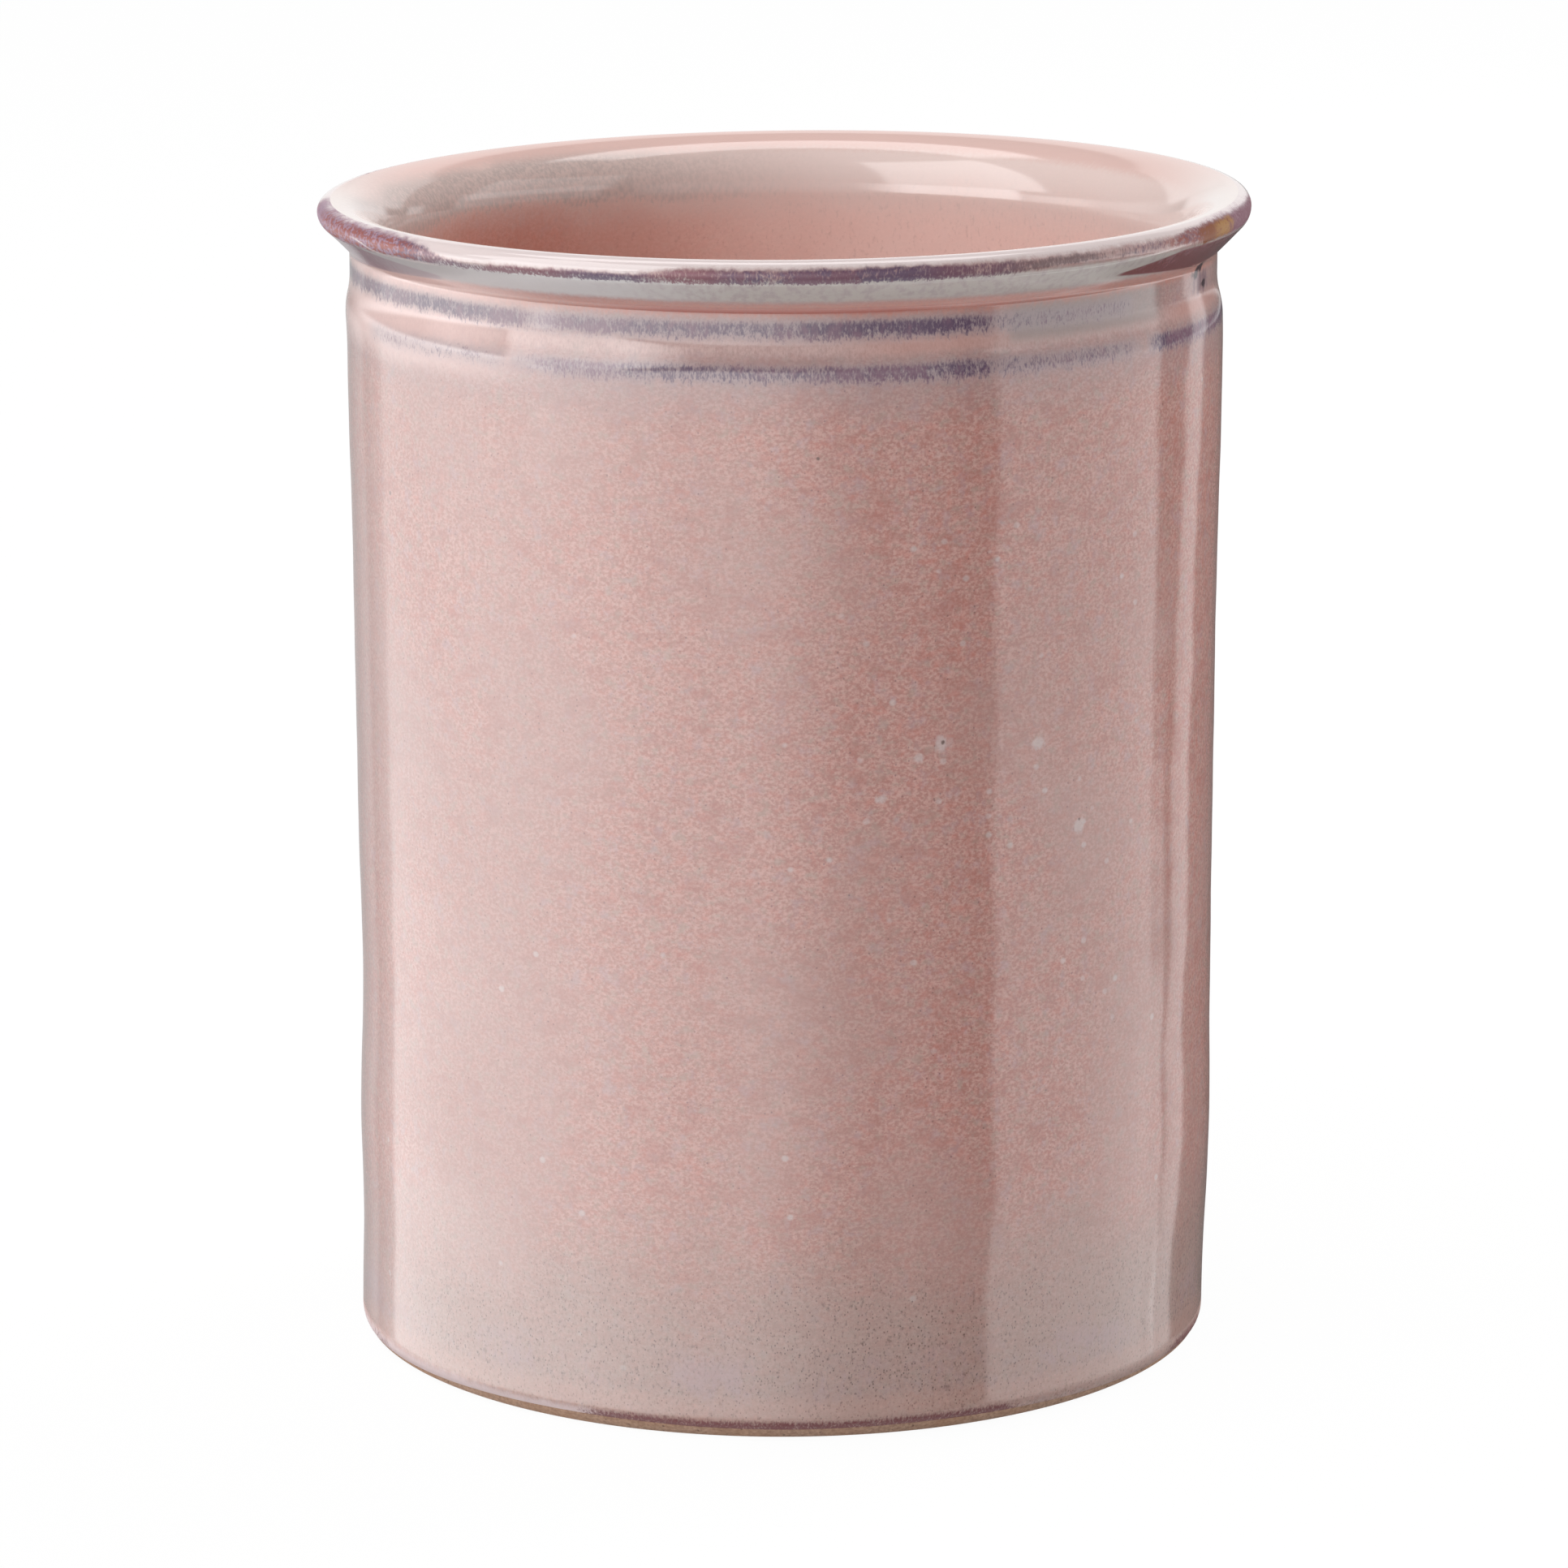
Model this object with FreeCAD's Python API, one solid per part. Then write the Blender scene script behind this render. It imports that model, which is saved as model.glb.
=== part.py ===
"""Utensil crock of glazed stoneware, in millimetres, +Z up, standing on Z = 0 with its axis on Z.

The crock is one turned clay body under a coat of glaze.  The body is thrown as a cylinder, drawn in a
little at its waist, with a flared, rolled lip, a shallow neck under the lip and a soft shoulder below the
neck.  A line is incised at each end of the shoulder.  The foot is turned, which leaves a ring round a shallow
recess.  The glaze goes on in three coats: the liner is poured inside, the outside is dipped, and the recess
under the foot is brushed.  The liner and the outside coat meet on the crest of the lip, and the foot ring and
its rounded corner are wiped bare.

Every piece is a profile in (radius, height) turned round Z.  The clay and the glaze use the same profile
points, so that each coat lies face to face on the clay.
"""

import FreeCAD, Part
import math
import os

# Overall sizes, measured over the glaze
height = 150.0
body_diameter = 112.9
wall_taper = 0.6
wall_waist = 0.25
wall_thickness = 5.85
floor_height = 8.0
floor_corner_radius = 9.0

# Lip: a round edge that is fuller on its underside, a flare inside it and a cone under it
lip_overhang = 3.45
lip_edge_radius = 1.7
lip_under_radius = 2.4
lip_flare_height = 8.0
lip_underside_angle = 44.0

# Neck and shoulder: plain lands, with an incised line below each of them
neck_depth = 0.7
neck_fillet_radius = 1.2
neck_land_height = 0.45
shoulder_land_height = 3.4
incised_line_width = 2.0
incised_line_depth = 0.6
incised_line_gap = 0.1

# Foot: a flat ring with a rounded corner, round a recess
bare_corner_radius = 1.5
foot_ring_width = 7.0
recess_depth = 1.5
recess_slope_width = 1.5

# Glaze: thin where it breaks over an edge, thicker on the walls
glaze_on_wall = 0.6
glaze_on_shoulder = 0.35
glaze_on_lip = 0.3
glaze_on_floor = 0.6
glaze_on_recess = 0.4
glaze_hem_rise = 1.4
glaze_recess_margin = 0.6

# Directions in the (radius, height) half plane, in degrees, and the turn that makes a solid
OUTWARD = 0.0
UPWARD = 90.0
INWARD = 180.0
DOWNWARD = -90.0
FULL_TURN = 360.0
AXIS_POINT = FreeCAD.Vector(0, 0, 0)
AXIS_DIRECTION = FreeCAD.Vector(0, 0, 1)


def polar(centre, radius, angle):
    """The point at an angle on a circle in the half plane."""
    turn = math.radians(angle)
    return (centre[0] + radius * math.cos(turn), centre[1] + radius * math.sin(turn))


def upright_arc_middle(upright_end, other_end):
    """The middle of the arc that is upright at one end and passes through the other."""
    across = other_end[0] - upright_end[0]
    along = other_end[1] - upright_end[1]
    radius = (across**2 + along**2) / (2 * across)
    turn = math.asin(along / radius) / 2
    return (upright_end[0] + radius * (1 - math.cos(turn)), upright_end[1] + radius * math.sin(turn))


def waist_middle(lower_end, upper_end):
    """The middle of a wall that is drawn in between its ends."""
    return ((lower_end[0] + upper_end[0]) / 2 - wall_waist, (lower_end[1] + upper_end[1]) / 2)


class Profile:
    """A run of lines and arcs in the (radius, height) half plane, built from point to point."""

    def __init__(self, start):
        self.end = start
        self.edges = []

    def line(self, to):
        segment = Part.LineSegment(self.vector(self.end), self.vector(to))
        return self.add(segment, to)

    def arc(self, through, to):
        bow = Part.Arc(self.vector(self.end), self.vector(through), self.vector(to))
        return self.add(bow, to)

    def arc_about(self, centre, radius, from_angle, to_angle):
        middle_angle = (from_angle + to_angle) / 2
        return self.arc(polar(centre, radius, middle_angle), polar(centre, radius, to_angle))

    def s_curve(self, to):
        """Two equal arcs, upright at both ends, from one radius to another."""
        start = self.end
        halfway = ((start[0] + to[0]) / 2, (start[1] + to[1]) / 2)
        self.arc(upright_arc_middle(start, halfway), halfway)
        return self.arc(upright_arc_middle(to, halfway), to)

    def add(self, curve, to):
        self.edges.append(curve.toShape())
        self.end = to
        return self

    @staticmethod
    def vector(point):
        return FreeCAD.Vector(point[0], 0, point[1])


def turned(*profiles):
    """The solid that a closed run of profiles makes when it is turned round the axis."""
    edges = [edge for profile in profiles for edge in profile.edges]
    outline = Part.Wire(Part.__sortEdges__(edges))
    return Part.Face(outline).revolve(AXIS_POINT, AXIS_DIRECTION, FULL_TURN)


# Radii over the glaze, and the centres of the lip's round edge above and below its widest part
body_radius = body_diameter / 2
lip_radius = body_radius + lip_overhang
lip_level = height - lip_edge_radius
lip_centre = (lip_radius - lip_edge_radius, lip_level)
under_centre = (lip_radius - lip_under_radius, lip_level)


class Surface:
    """One surface of the crock, which lies under the glaze's own surface by a depth at each place."""

    def __init__(self, under_wall, under_shoulder, under_lip, under_floor):
        self.foot_radius = body_radius - wall_taper - under_wall
        self.body_radius = body_radius - under_wall
        self.neck_radius = body_radius - neck_depth - under_shoulder
        self.bore_radius = body_radius - wall_thickness + under_wall
        self.floor = floor_height - under_floor
        self.edge_radius = lip_edge_radius - under_lip
        self.under_radius = lip_under_radius - under_lip
        self.crest = polar(lip_centre, self.edge_radius, UPWARD)
        self.shape_flare()
        self.shape_underside()

    def shape_flare(self):
        """The flare is upright where it leaves the bore, and touches the lip's round edge from inside."""
        across = lip_centre[0] - self.bore_radius
        along = lip_centre[1] - (height - lip_flare_height)
        edge = self.edge_radius
        self.flare_radius = (across**2 + along**2 - edge**2) / (2 * (across - edge))
        self.flare_centre = (self.bore_radius + self.flare_radius, height - lip_flare_height)
        self.flare_angle = math.degrees(math.atan2(along, across - self.flare_radius))

    def shape_underside(self):
        """The cone under the lip leaves the round edge at a tangent, and meets the neck in a fillet."""
        slope = math.radians(lip_underside_angle)
        self.under_edge = polar(under_centre, self.under_radius, -lip_underside_angle)
        corner = self.under_edge[1] - (self.under_edge[0] - self.neck_radius) / math.tan(slope)
        self.neck_top = corner - neck_fillet_radius * math.tan(slope / 2)
        self.fillet_centre = (self.neck_radius + neck_fillet_radius, self.neck_top)


clay = Surface(glaze_on_wall, glaze_on_shoulder, glaze_on_lip, glaze_on_floor)
glaze = Surface(0, 0, 0, 0)

# Heights on the neck and the shoulder, downward from the top of the neck
half_line = incised_line_width / 2
upper_line = glaze.neck_top - neck_land_height - half_line
shoulder_top = upper_line - half_line - incised_line_gap
lower_line = shoulder_top - shoulder_land_height - half_line
shoulder_foot = lower_line - half_line - incised_line_gap


def shoulder_radius(at_height):
    """The radius of the glaze on the shoulder, whose two flat arcs are taken as parabolas."""
    height_share = (at_height - shoulder_foot) / (shoulder_top - shoulder_foot)
    if height_share < 1 / 2:
        drawn_in_share = 2 * height_share**2
    else:
        drawn_in_share = 1 - 2 * (1 - height_share) ** 2
    return glaze.body_radius - neck_depth * drawn_in_share


def add_lip(profile, surface):
    """From the neck along the cone under the lip, and over the round edge to the crest."""
    profile.line((surface.neck_radius, surface.neck_top))
    profile.arc_about(surface.fillet_centre, neck_fillet_radius, INWARD, INWARD - lip_underside_angle)
    profile.line(surface.under_edge)
    profile.arc_about(under_centre, surface.under_radius, -lip_underside_angle, OUTWARD)
    return profile.arc_about(lip_centre, surface.edge_radius, OUTWARD, UPWARD)


def inside(surface):
    """From the crest of the lip down the flare and the bore, and across the floor to the axis."""
    corner_centre = (surface.bore_radius - floor_corner_radius, surface.floor + floor_corner_radius)
    profile = Profile(surface.crest)
    profile.arc_about(lip_centre, surface.edge_radius, UPWARD, surface.flare_angle)
    profile.arc_about(surface.flare_centre, surface.flare_radius, surface.flare_angle, INWARD)
    profile.line((surface.bore_radius, corner_centre[1]))
    profile.arc_about(corner_centre, floor_corner_radius, OUTWARD, DOWNWARD)
    return profile.line((0, surface.floor))


def clay_outside():
    """From the bare corner up the wall, across both incised lines, to the crest of the lip."""
    wall_foot = (clay.foot_radius, bare_corner_radius)
    wall_top = (clay.body_radius, lower_line - half_line)
    profile = Profile(wall_foot)
    profile.arc(waist_middle(wall_foot, wall_top), wall_top)
    land_foot = lower_line + half_line
    land_radius = shoulder_radius(land_foot) - glaze_on_shoulder
    profile.arc((clay.body_radius - incised_line_depth, lower_line), (land_radius, land_foot))
    profile.line((clay.neck_radius, upper_line - half_line))
    line_bottom = (clay.neck_radius - incised_line_depth, upper_line)
    profile.arc(line_bottom, (clay.neck_radius, upper_line + half_line))
    return add_lip(profile, clay)


def glaze_outside():
    """From the rolled hem up the wall, over the soft shoulder and the neck, to the crest of the lip."""
    hem = (clay.foot_radius, bare_corner_radius)
    hem_top = (glaze.foot_radius, bare_corner_radius + glaze_hem_rise)
    profile = Profile(hem)
    profile.arc(upright_arc_middle(hem_top, hem), hem_top)
    wall_top = (glaze.body_radius, shoulder_foot)
    profile.arc(waist_middle(hem_top, wall_top), wall_top)
    profile.s_curve((glaze.neck_radius, shoulder_top))
    return add_lip(profile, glaze)


# Radii of the foot ring
ring_outside = clay.foot_radius - bare_corner_radius
ring_inside = ring_outside - foot_ring_width
recess_radius = ring_inside - recess_slope_width


def make_stoneware_body():
    """The turned clay, bare on the foot ring and its corner."""
    foot = Profile((0, recess_depth))
    foot.line((recess_radius, recess_depth))
    foot.line((ring_inside, 0))
    foot.line((ring_outside, 0))
    foot.arc_about((ring_outside, bare_corner_radius), bare_corner_radius, DOWNWARD, OUTWARD)
    axis = Profile((0, clay.floor)).line((0, recess_depth))
    return turned(foot, clay_outside(), inside(clay), axis)


def make_outer_glaze():
    """The dipped coat, from its rolled hem above the foot to the crest of the lip."""
    seam = Profile(glaze.crest).line(clay.crest)
    return turned(glaze_outside(), seam, clay_outside())


def make_liner_glaze():
    """The poured coat, from the crest of the lip down the bore and over the floor."""
    seam = Profile(glaze.crest).line(clay.crest)
    axis = Profile((0, glaze.floor)).line((0, clay.floor))
    return turned(inside(glaze), axis, inside(clay), seam)


def make_recess_glaze():
    """The brushed disc on the roof of the recess, with a rolled edge."""
    edge = recess_radius - glaze_recess_margin
    face = recess_depth - glaze_on_recess
    disc = Profile((0, recess_depth))
    disc.line((edge, recess_depth))
    disc.arc_about((edge - glaze_on_recess, recess_depth), glaze_on_recess, OUTWARD, DOWNWARD)
    disc.line((0, face))
    disc.line((0, recess_depth))
    return turned(disc)


PIECES = {
    "stoneware_body": make_stoneware_body,
    "outer_glaze": make_outer_glaze,
    "liner_glaze": make_liner_glaze,
    "recess_glaze": make_recess_glaze,
}

os.makedirs("parts", exist_ok=True)
for name, make in PIECES.items():
    solid = make()
    solid.exportStep(f"parts/{name}.step")
    print(f"{name}: {solid.ShapeType}, valid {solid.isValid()}, {solid.Volume:.0f} mm3")
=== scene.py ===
import math
import bmesh
import bpy
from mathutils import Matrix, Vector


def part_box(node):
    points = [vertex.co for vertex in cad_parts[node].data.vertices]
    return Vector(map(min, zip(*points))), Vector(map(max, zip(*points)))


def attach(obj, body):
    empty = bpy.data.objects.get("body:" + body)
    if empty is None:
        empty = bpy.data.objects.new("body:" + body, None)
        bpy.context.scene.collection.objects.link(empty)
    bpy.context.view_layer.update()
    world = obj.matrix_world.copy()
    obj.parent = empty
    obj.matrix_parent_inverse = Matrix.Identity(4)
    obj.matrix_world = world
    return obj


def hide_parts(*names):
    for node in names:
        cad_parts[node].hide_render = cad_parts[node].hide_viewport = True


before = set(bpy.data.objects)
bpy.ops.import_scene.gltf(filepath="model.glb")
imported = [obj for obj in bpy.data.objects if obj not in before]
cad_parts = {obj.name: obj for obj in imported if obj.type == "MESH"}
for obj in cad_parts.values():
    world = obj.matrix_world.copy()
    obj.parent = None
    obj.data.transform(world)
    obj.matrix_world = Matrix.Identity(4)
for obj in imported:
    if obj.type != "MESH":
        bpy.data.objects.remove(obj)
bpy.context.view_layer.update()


# Stoneware body: the clay under everything else, buff stoneware thrown as a cylinder with a slight waist.
# The lip is rolled over and two lines are incised round the shoulder while it turns. The foot is turned to a
# ring when the clay is leather hard, and the ring and its rounded corner stay bare in the firing.

MM = 0.001
SEGMENTS_AROUND = 256
CREASE_ANGLE = 40.0


def millimetres(node):
    """The lowest and highest corner of a piece of the frame."""
    return [[side / MM for side in corner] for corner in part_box(node)]


clay_high = millimetres("stoneware_body")[1]
outer_low, outer_high = millimetres("outer_glaze")
liner_low, liner_high = millimetres("liner_glaze")

height = outer_high[2]
lip_radius = outer_high[0]
crest_radius = liner_high[0]
bare_corner_radius = outer_low[2]
body_radius = 56.45
wall_taper = 0.6
wall_waist = 0.25
wall_thickness = 5.85
floor_corner_radius = 9.0
lip_edge_radius = lip_radius - crest_radius
lip_under_radius = 2.4
lip_flare_height = 8.0
lip_underside_angle = 44.0
neck_depth = 0.7
neck_fillet_radius = 1.2
neck_land_height = 0.45
shoulder_land_height = 3.4
incised_line_width = 2.0
incised_line_depth = 0.6
incised_line_gap = 0.1
incised_line_steps = 8
foot_ring_width = 7.0
recess_slope_width = 1.5
recess_depth = 1.5
glaze_on_wall = 0.6
glaze_on_shoulder = 0.35
glaze_on_lip = height - clay_high[2]
glaze_on_floor = 0.6
glaze_hem_rise = 1.4
lip_centre = (crest_radius, height - lip_edge_radius)
under_centre = (lip_radius - lip_under_radius, height - lip_edge_radius)

# How the hand leaves the round: a swelling low in the wall, a lean, a lip that is not quite level, and
# soft waves that only the reflections show, each with its depth, lobes around, pitch upward and phase
swelling_depth, swelling_height, swelling_spread = 0.28, 28.0, 11.0
side_lean, side_swelling, side_swelling_height, side_swelling_spread = 0.14, 0.2, 49.0, 14.0
foot_lean, foot_lean_height = 0.4, 22.0
lip_rise, lip_nod, lip_warp = 0.55, 0.2, 0.1
neck_drift, lip_drift = -0.22, 0.1
hem_drop, hem_wander = 1.1, 0.3
wall_waves = ((0.05, 6, 46.0, 0.4), (0.035, 9, 31.0, 2.1), (0.012, 15, 17.0, 4.0))
ring_depth, ring_pitch, ring_sway = 0.008, 9.0, 1.5
hem_waves = ((0.3, 3, 1), (0.2, 7, 2))

# The heights between which each of them comes in or fades out, and the radii between which the hem does
waves_start, waves_end = (2, 14), (126, 137)
neck_drift_start, lip_drift_start, lip_tilt_start = (130, 139), (143, 148), (144, 150.7)
hem_reach, hem_radii = 7, (50, 54)


def ease(value, low, high):
    """0 up to low, 1 from high on, and a smooth rise between."""
    share = min(max((value - low) / (high - low), 0), 1)
    return share * share * (3 - 2 * share)


def hump(value, middle, spread):
    """1 at the middle, falling away smoothly to both sides."""
    return math.exp(-(((value - middle) / spread) ** 2))


def thrown(radius, turn, rise):
    """Where a point of the true round form lies on the hand-thrown crock, in metres."""
    on_wall = ease(rise, *waves_start) * (1 - ease(rise, *waves_end))
    swell = swelling_depth * hump(rise, swelling_height, swelling_spread)
    lean = side_lean + side_swelling * hump(rise, side_swelling_height, side_swelling_spread)
    lean -= foot_lean * (1 - ease(rise, 0, foot_lean_height))
    waves = ring_depth * math.cos(math.tau * rise / ring_pitch + ring_sway * math.sin(turn))
    for depth, lobes, pitch, phase in wall_waves:
        waves += depth * math.cos(lobes * turn + phase) * math.cos(math.tau * rise / pitch + lobes * phase)
    out = radius + (swell + lean * math.cos(turn) + waves * on_wall) * radius / body_radius
    drift = neck_drift * ease(rise, *neck_drift_start) + lip_drift * ease(rise, *lip_drift_start)
    across = out * math.cos(turn) + drift * radius / body_radius
    tilt = lip_rise * math.cos(turn) + lip_nod * (math.sin(turn) - 1) + lip_warp * math.sin(2 * turn)
    tilt *= ease(rise, *lip_tilt_start)
    near_hem = min(rise / bare_corner_radius, 1) * (1 - ease(rise, bare_corner_radius, hem_reach))
    near_hem *= ease(radius, *hem_radii)
    hem = hem_wander * sum(share * math.cos(lobes * turn + phase) for share, lobes, phase in hem_waves)
    hem -= hem_drop * math.cos(turn) ** 4
    return (across * MM, out * math.sin(turn) * MM, (rise + tilt + hem * near_hem) * MM)


def turned_shell(name, outline):
    """A closed shell from an outline of (radius, height) points that goes once round its section."""
    form = bmesh.new()
    rings = []
    for radius, rise in outline:
        steps = SEGMENTS_AROUND if radius > 0 else 1
        turns = [math.tau * step / SEGMENTS_AROUND for step in range(steps)]
        rings.append([form.verts.new(thrown(radius, turn, rise)) for turn in turns])
    for ring, following in zip(rings, rings[1:] + rings[:1]):
        for step in range(max(len(ring), len(following))):
            corners = []
            for corner in (ring[step % len(ring)], ring[(step + 1) % len(ring)],
                           following[(step + 1) % len(following)], following[step % len(following)]):
                if corner not in corners:
                    corners.append(corner)
            if len(corners) > 2:
                form.faces.new(corners)
    bmesh.ops.recalc_face_normals(form, faces=form.faces)
    mesh = bpy.data.meshes.new(name)
    form.to_mesh(mesh)
    form.free()
    mesh.polygons.foreach_set("use_smooth", [True] * len(mesh.polygons))
    mesh.set_sharp_from_angle(angle=math.radians(CREASE_ANGLE))
    shell = bpy.data.objects.new(name, mesh)
    bpy.context.collection.objects.link(shell)
    return shell


class Template:
    """A run of lines and arcs in (radius, height), as on the card that a potter holds to the clay."""

    def __init__(self, start):
        self.points = [start]

    def line(self, to, steps=1):
        start = self.points[-1]
        for step in range(1, steps + 1):
            share = step / steps
            self.points.append((start[0] + (to[0] - start[0]) * share, start[1] + (to[1] - start[1]) * share))
        return self

    def drawn_in(self, to, depth, steps):
        """A run whose middle lies nearer to the axis than its ends."""
        start = self.points[-1]
        for step in range(1, steps + 1):
            share = step / steps
            waist = depth * 4 * share * (1 - share)
            radius = start[0] + (to[0] - start[0]) * share - waist
            self.points.append((radius, start[1] + (to[1] - start[1]) * share))
        return self

    def arc(self, centre, radius, start_angle, end_angle, steps):
        for step in range(1, steps + 1):
            angle = math.radians(start_angle + (end_angle - start_angle) * step / steps)
            self.points.append((centre[0] + radius * math.cos(angle), centre[1] + radius * math.sin(angle)))
        return self


class Surface:
    """The crock's surface at a depth under the glaze: sizes of the bore, the neck, the flare and the lip."""

    def __init__(self, under_wall, under_shoulder, under_lip, under_floor):
        self.foot_radius = body_radius - wall_taper - under_wall
        self.body_radius = body_radius - under_wall
        self.neck_radius = body_radius - neck_depth - under_shoulder
        self.bore_radius = body_radius - wall_thickness + under_wall
        self.floor = liner_low[2] + glaze_on_floor - under_floor
        self.edge_radius = lip_edge_radius - under_lip
        across = lip_centre[0] - self.bore_radius
        along = lip_centre[1] - (height - lip_flare_height)
        self.flare_radius = (across**2 + along**2 - self.edge_radius**2) / (2 * (across - self.edge_radius))
        self.flare_centre = (self.bore_radius + self.flare_radius, height - lip_flare_height)
        self.flare_angle = math.degrees(math.atan2(along, across - self.flare_radius))
        slope = math.radians(lip_underside_angle)
        self.under_radius = lip_under_radius - under_lip
        self.under_edge = (under_centre[0] + self.under_radius * math.cos(slope),
                           under_centre[1] - self.under_radius * math.sin(slope))
        corner = self.under_edge[1] - (self.under_edge[0] - self.neck_radius) / math.tan(slope)
        self.neck_top = corner - neck_fillet_radius * math.tan(slope / 2)


clay = Surface(glaze_on_wall, glaze_on_shoulder, glaze_on_lip, glaze_on_floor)
glaze = Surface(0, 0, 0, 0)
upper_line = glaze.neck_top - neck_land_height - incised_line_width / 2
shoulder_top = upper_line - incised_line_width / 2 - incised_line_gap
lower_line = shoulder_top - shoulder_land_height - incised_line_width / 2
shoulder_foot = lower_line - incised_line_width / 2 - incised_line_gap


def shoulder_radius(rise):
    """The glaze's radius on the soft step from the wall in to the neck."""
    share = (rise - shoulder_foot) / (shoulder_top - shoulder_foot)
    drawn_in = 2 * share**2 if share < 0.5 else 1 - 2 * (1 - share) ** 2
    return body_radius - neck_depth * drawn_in


def add_lip(template, surface, fineness):
    """From the neck along the cone under the lip and over its round edge to the crest."""
    template.line((surface.neck_radius, surface.neck_top), 2 * fineness)
    fillet_centre = (surface.neck_radius + neck_fillet_radius, surface.neck_top)
    template.arc(fillet_centre, neck_fillet_radius, 180, 180 - lip_underside_angle, 4 * fineness)
    template.line(surface.under_edge, 3 * fineness)
    template.arc(under_centre, surface.under_radius, -lip_underside_angle, 0, 6 * fineness)
    template.arc(lip_centre, surface.edge_radius, 0, 89.5, 8 * fineness)
    return template.arc(lip_centre, surface.edge_radius, 89.5, 90, 1)


def add_incised_line(template, middle, to):
    """A shallow round groove cut with a wooden point, through its bottom to its upper edge."""
    below, above = template.points[-1], to
    for step in range(1, incised_line_steps + 1):
        share = step / incised_line_steps
        radius = below[0] + (above[0] - below[0]) * share - incised_line_depth * math.sin(math.pi * share)
        template.points.append((radius, middle + incised_line_width * (share - 0.5)))
    return template


def clay_outside():
    """The clay from the bare corner up the wall, across both incised lines, to the crest of the lip."""
    half_line = incised_line_width / 2
    template = Template((clay.foot_radius, bare_corner_radius))
    template.drawn_in((clay.body_radius, lower_line - half_line), wall_waist, 40)
    land_foot = lower_line + half_line
    add_incised_line(template, lower_line, (shoulder_radius(land_foot) - glaze_on_shoulder, land_foot))
    template.line((clay.neck_radius, upper_line - half_line), 4)
    add_incised_line(template, upper_line, (clay.neck_radius, upper_line + half_line))
    return add_lip(template, clay, 1).points


def inside(surface, fineness):
    """From the crest of the lip down the flare and the bore, and across the floor to the axis."""
    corner_centre = (surface.bore_radius - floor_corner_radius, surface.floor + floor_corner_radius)
    template = Template((lip_centre[0], lip_centre[1] + surface.edge_radius))
    template.arc(lip_centre, surface.edge_radius, 90, 90.5, 1)
    template.arc(lip_centre, surface.edge_radius, 90.5, surface.flare_angle, 6 * fineness)
    template.arc(surface.flare_centre, surface.flare_radius, surface.flare_angle, 180, 10 * fineness)
    template.line((surface.bore_radius, corner_centre[1]), 24 * fineness)
    template.arc(corner_centre, floor_corner_radius, 0, -90, 6 * fineness)
    return template.line((0, surface.floor), 8 * fineness).points


ring_outside = clay.foot_radius - bare_corner_radius
ring_inside = ring_outside - foot_ring_width
recess_radius = ring_inside - recess_slope_width


def stoneware_outline():
    """The section of the clay: recess, foot ring and bare corner, the outside, and back down the inside."""
    foot = Template((0, recess_depth)).line((recess_radius, recess_depth), 8)
    foot.line((ring_inside, 0), 2).line((ring_outside, 0), 4)
    foot.arc((ring_outside, bare_corner_radius), bare_corner_radius, -90, 0, 10)
    return foot.points + clay_outside()[1:] + inside(clay, 1)[1:]


class Amount:
    """A number or colour that varies over a surface. Arithmetic on it adds Math nodes to its recipe."""

    def __init__(self, recipe, socket):
        self.recipe = recipe
        self.socket = socket

    def other(self, output):
        return Amount(self.recipe, self.socket.node.outputs[output])

    def __add__(self, value):
        return self.recipe.math("ADD", self, value)

    def __radd__(self, value):
        return self.recipe.math("ADD", value, self)

    def __sub__(self, value):
        return self.recipe.math("SUBTRACT", self, value)

    def __rsub__(self, value):
        return self.recipe.math("SUBTRACT", value, self)

    def __mul__(self, value):
        return self.recipe.math("MULTIPLY", self, value)

    def __rmul__(self, value):
        return self.recipe.math("MULTIPLY", value, self)

    def __truediv__(self, value):
        return self.recipe.math("DIVIDE", self, value)

    def __rtruediv__(self, value):
        return self.recipe.math("DIVIDE", value, self)


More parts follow.
